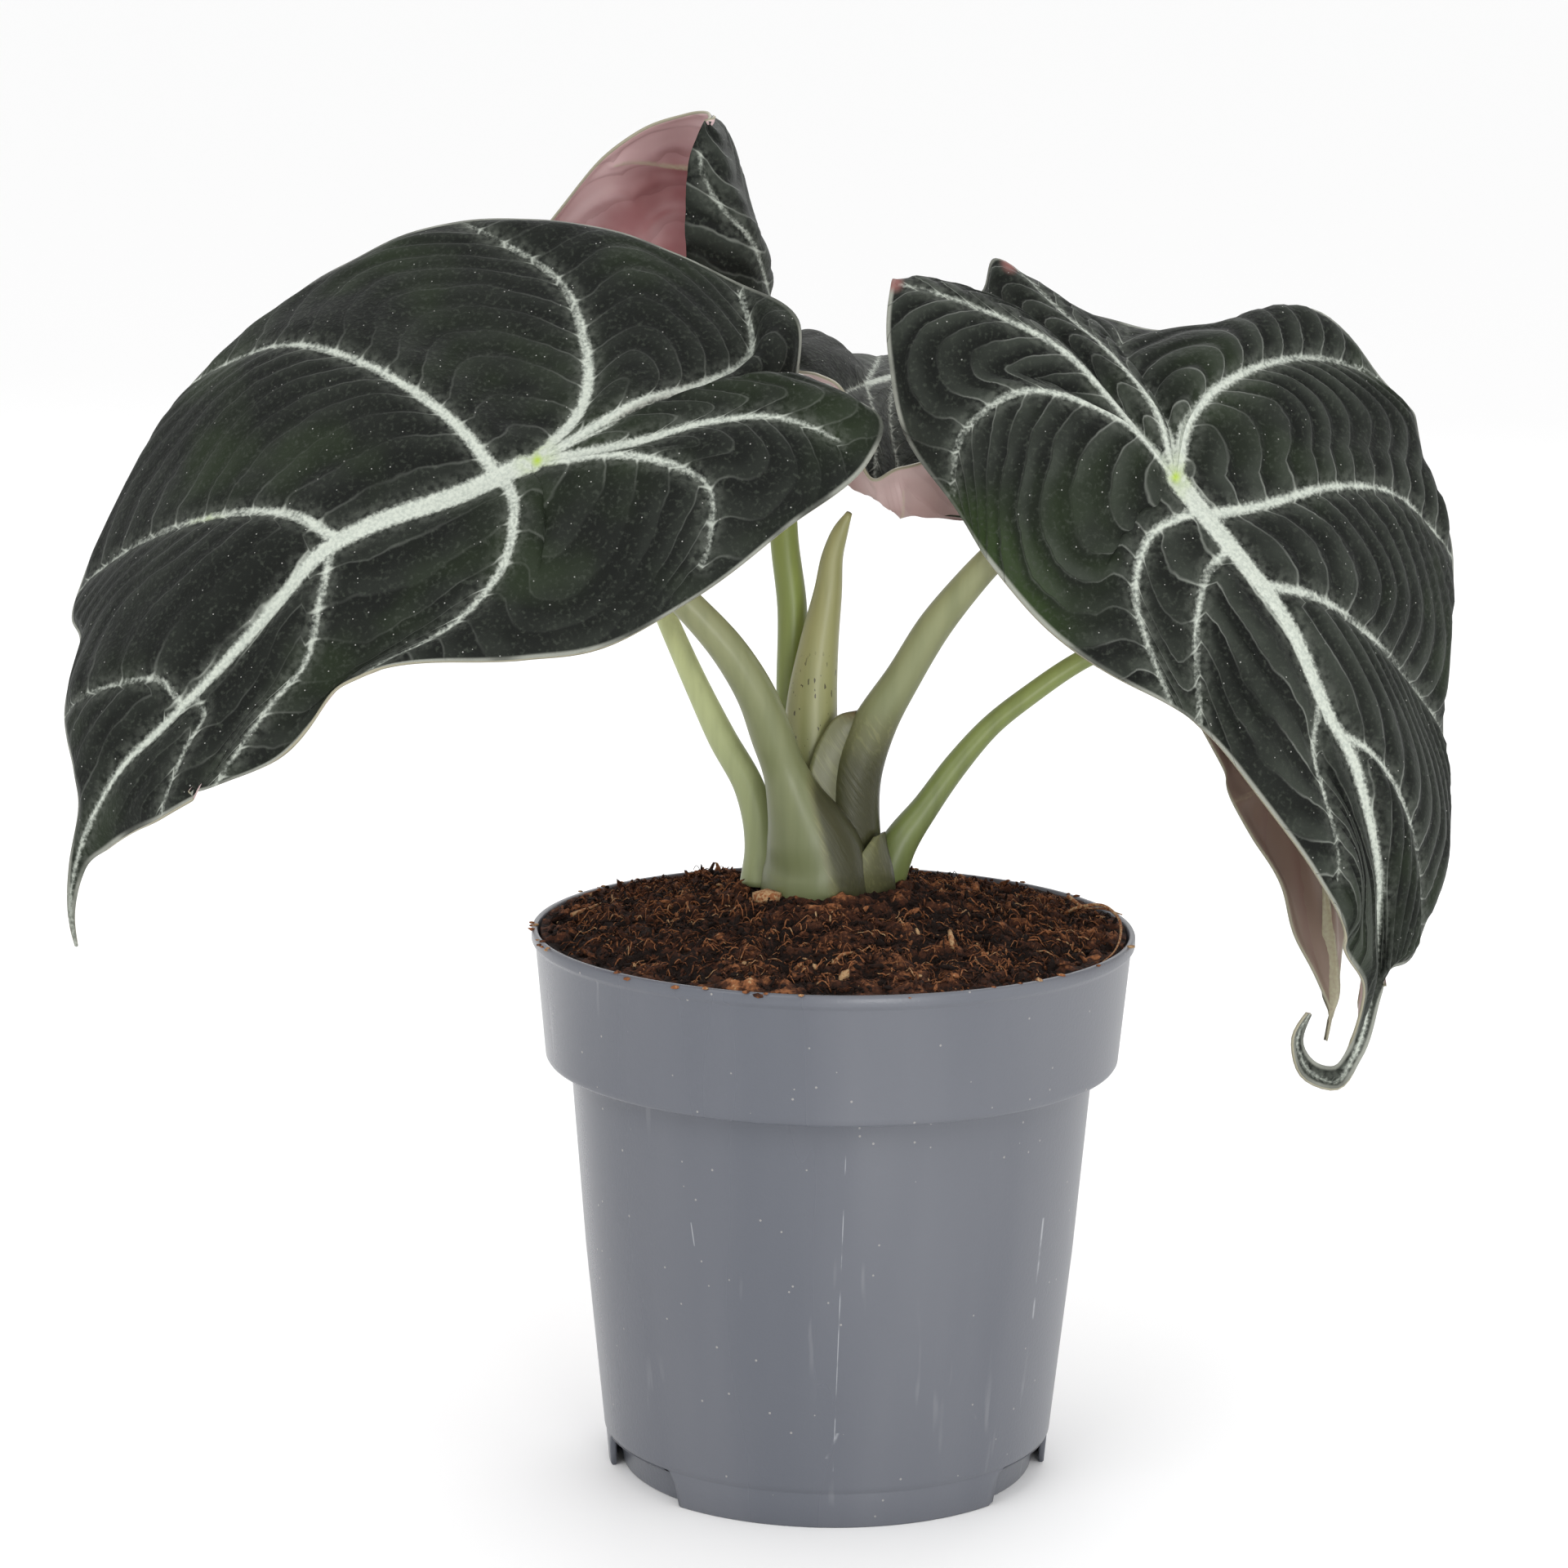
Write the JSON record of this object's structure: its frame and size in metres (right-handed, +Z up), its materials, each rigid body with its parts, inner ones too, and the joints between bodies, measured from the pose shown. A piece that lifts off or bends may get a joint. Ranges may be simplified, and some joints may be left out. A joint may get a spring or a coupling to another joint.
{
  "type": "potted alocasia plant",
  "caption": "Aroid house plant with velvety dark arrow-shaped leaves and pale veins, growing in soil in a round grey nursery pot with a collared rim and notched foot.",
  "frame": {"origin": "centre of the pot's flat underside, on the ground plane", "axes": "+Z up along the pot's axis, -Y towards the viewer of the picture, +X to the picture's right"},
  "size_m": [0.28, 0.1948, 0.2702],
  "materials": {
    "pot": "satin",
    "soil": "matt",
    "stalk": "satin",
    "blade": "velvety",
    "blade_underside": "satin"
  },
  "bodies": {
    "root": {"pot": "pot", "soil": "soil", "crown_and_stalks": "stalk", "left_blade": "blade", "right_blade": "blade", "back_blade": "blade", "top_blade": "blade_underside", "low_blade": "blade_underside"}
  },
  "joints": []
}
